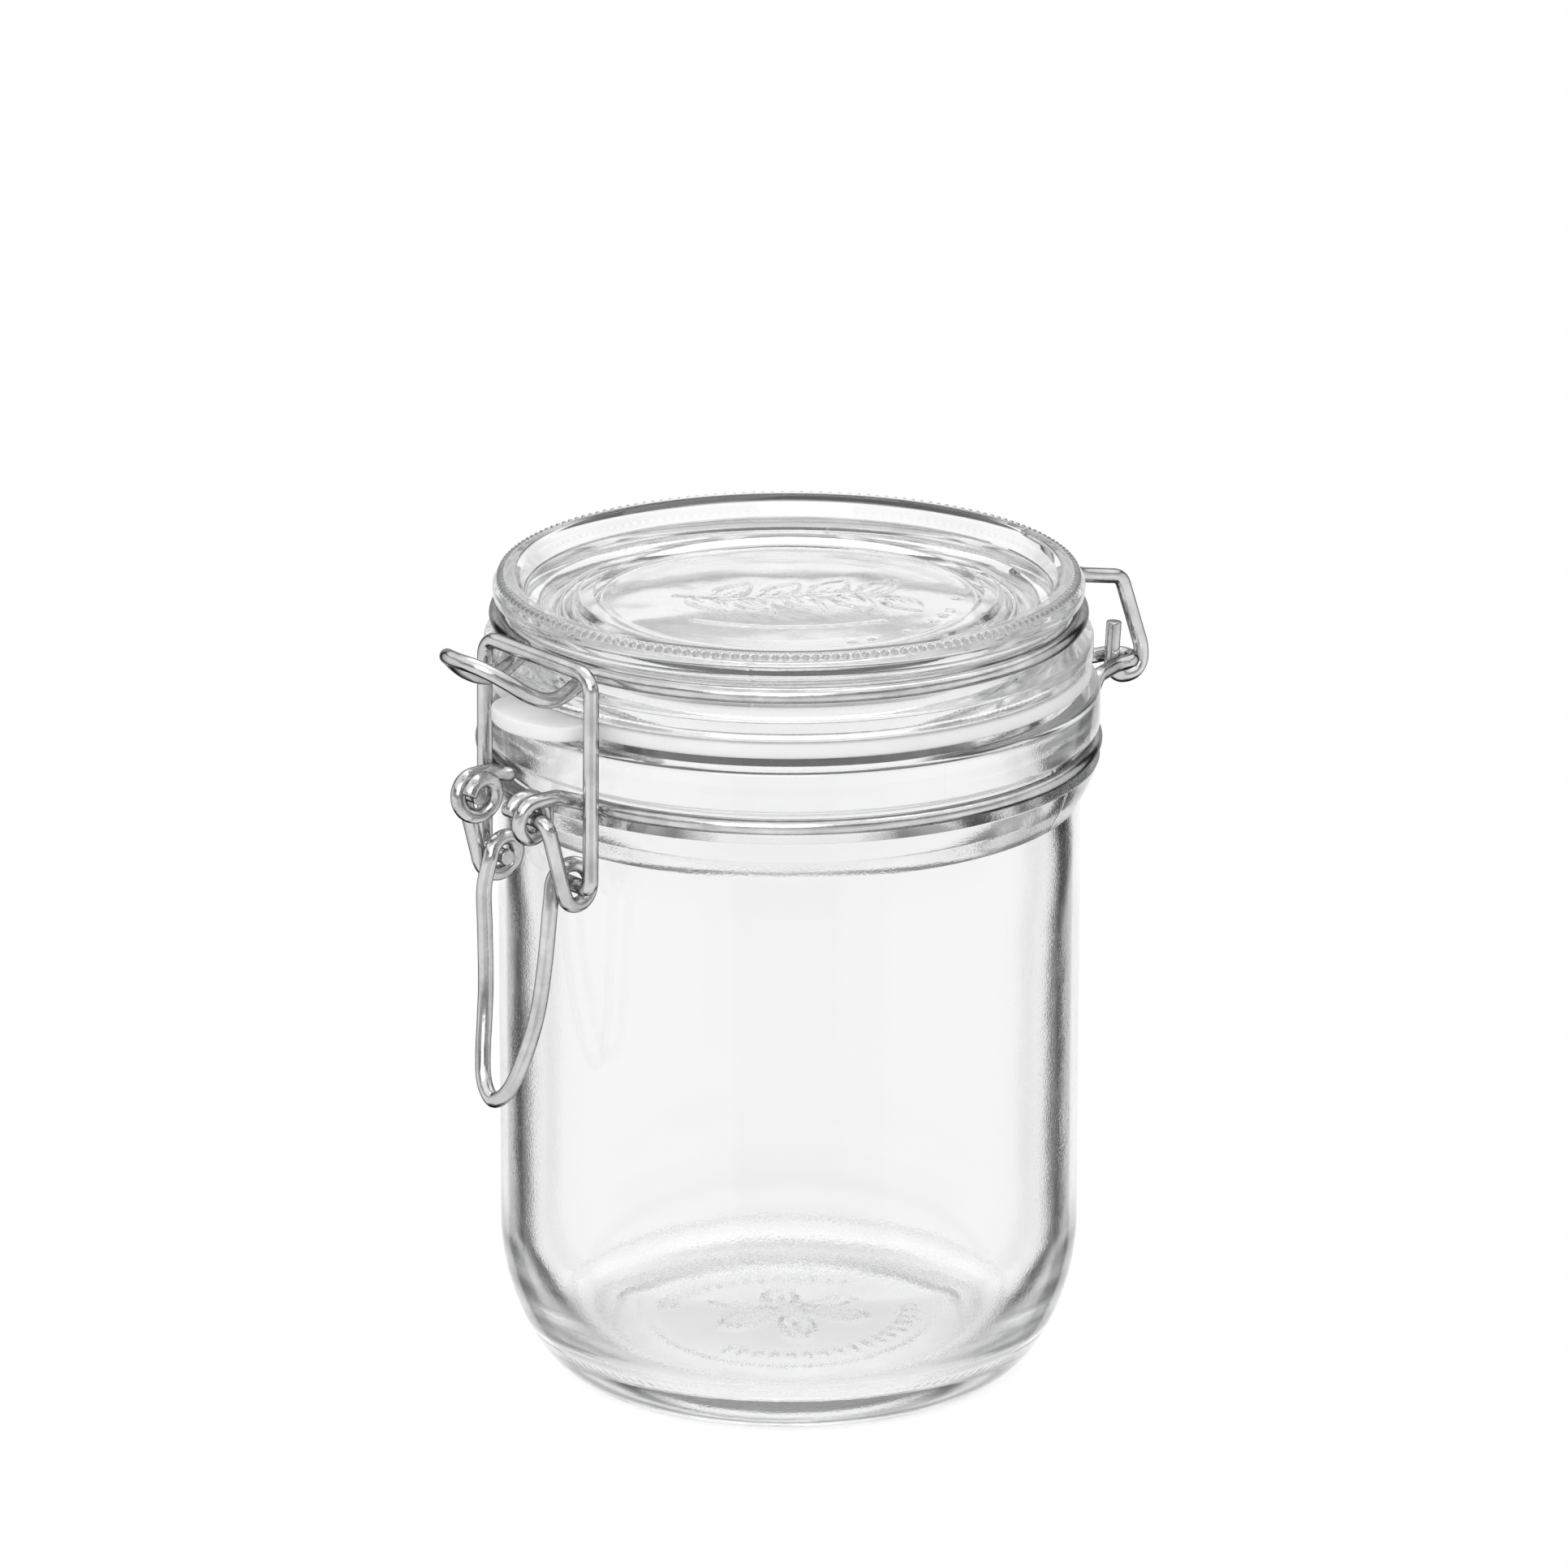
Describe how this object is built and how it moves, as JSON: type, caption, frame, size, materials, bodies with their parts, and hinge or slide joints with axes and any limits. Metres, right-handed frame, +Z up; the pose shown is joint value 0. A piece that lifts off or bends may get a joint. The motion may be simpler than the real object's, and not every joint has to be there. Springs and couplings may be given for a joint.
{
  "type": "bail clamp jar",
  "caption": "Round glass storage jar with a hinged glass lid, a rubber gasket and a wire lever clamp that pulls the lid down.",
  "frame": {"origin": "on the jar's axis, in the plane that the jar stands on; the recessed base panel is 0.8 mm above it", "axes": "+Z up along the jar's axis; -Y is the front with the clamp, +Y is the back with the lid's hinge; +X is to the right seen from the front"},
  "size_m": [0.0988, 0.14, 0.1304],
  "materials": {
    "jar_glass": "clear pressed glass, fire polished",
    "lid_glass": "clear pressed glass with a fine beaded edge",
    "wire": "bright drawn stainless steel wire",
    "gasket_rubber": "milky white silicone rubber, satin"
  },
  "bodies": {
    "jar": {"jar_body": "jar_glass", "neck_band": "wire"},
    "lid": {"lid": "lid_glass", "lid_band": "wire", "gasket": "gasket_rubber"},
    "lever": {"lever": "wire"},
    "bail": {"bail": "wire"}
  },
  "joints": [
    {"name": "lever_pivot", "type": "hinge", "parent": "jar", "child": "lever", "pos_m": [0, -0.056, 0.1025], "axis": [-1, 0, 0], "range_deg": [0, 135]},
    {"name": "bail_pivot", "type": "hinge", "parent": "lever", "child": "bail", "pos_m": [0, -0.0498, 0.0912], "axis": [-1, 0, 0], "range_deg": [-110, 0]},
    {"name": "lid_hinge", "type": "hinge", "parent": "jar", "child": "lid", "pos_m": [0, 0.0699, 0.1033], "axis": [-1, 0, 0], "range_deg": [0, 180]}
  ],
  "couplings": [
    {"joint": "bail_pivot", "follows": "lever_pivot", "ratio": -0.8}
  ]
}
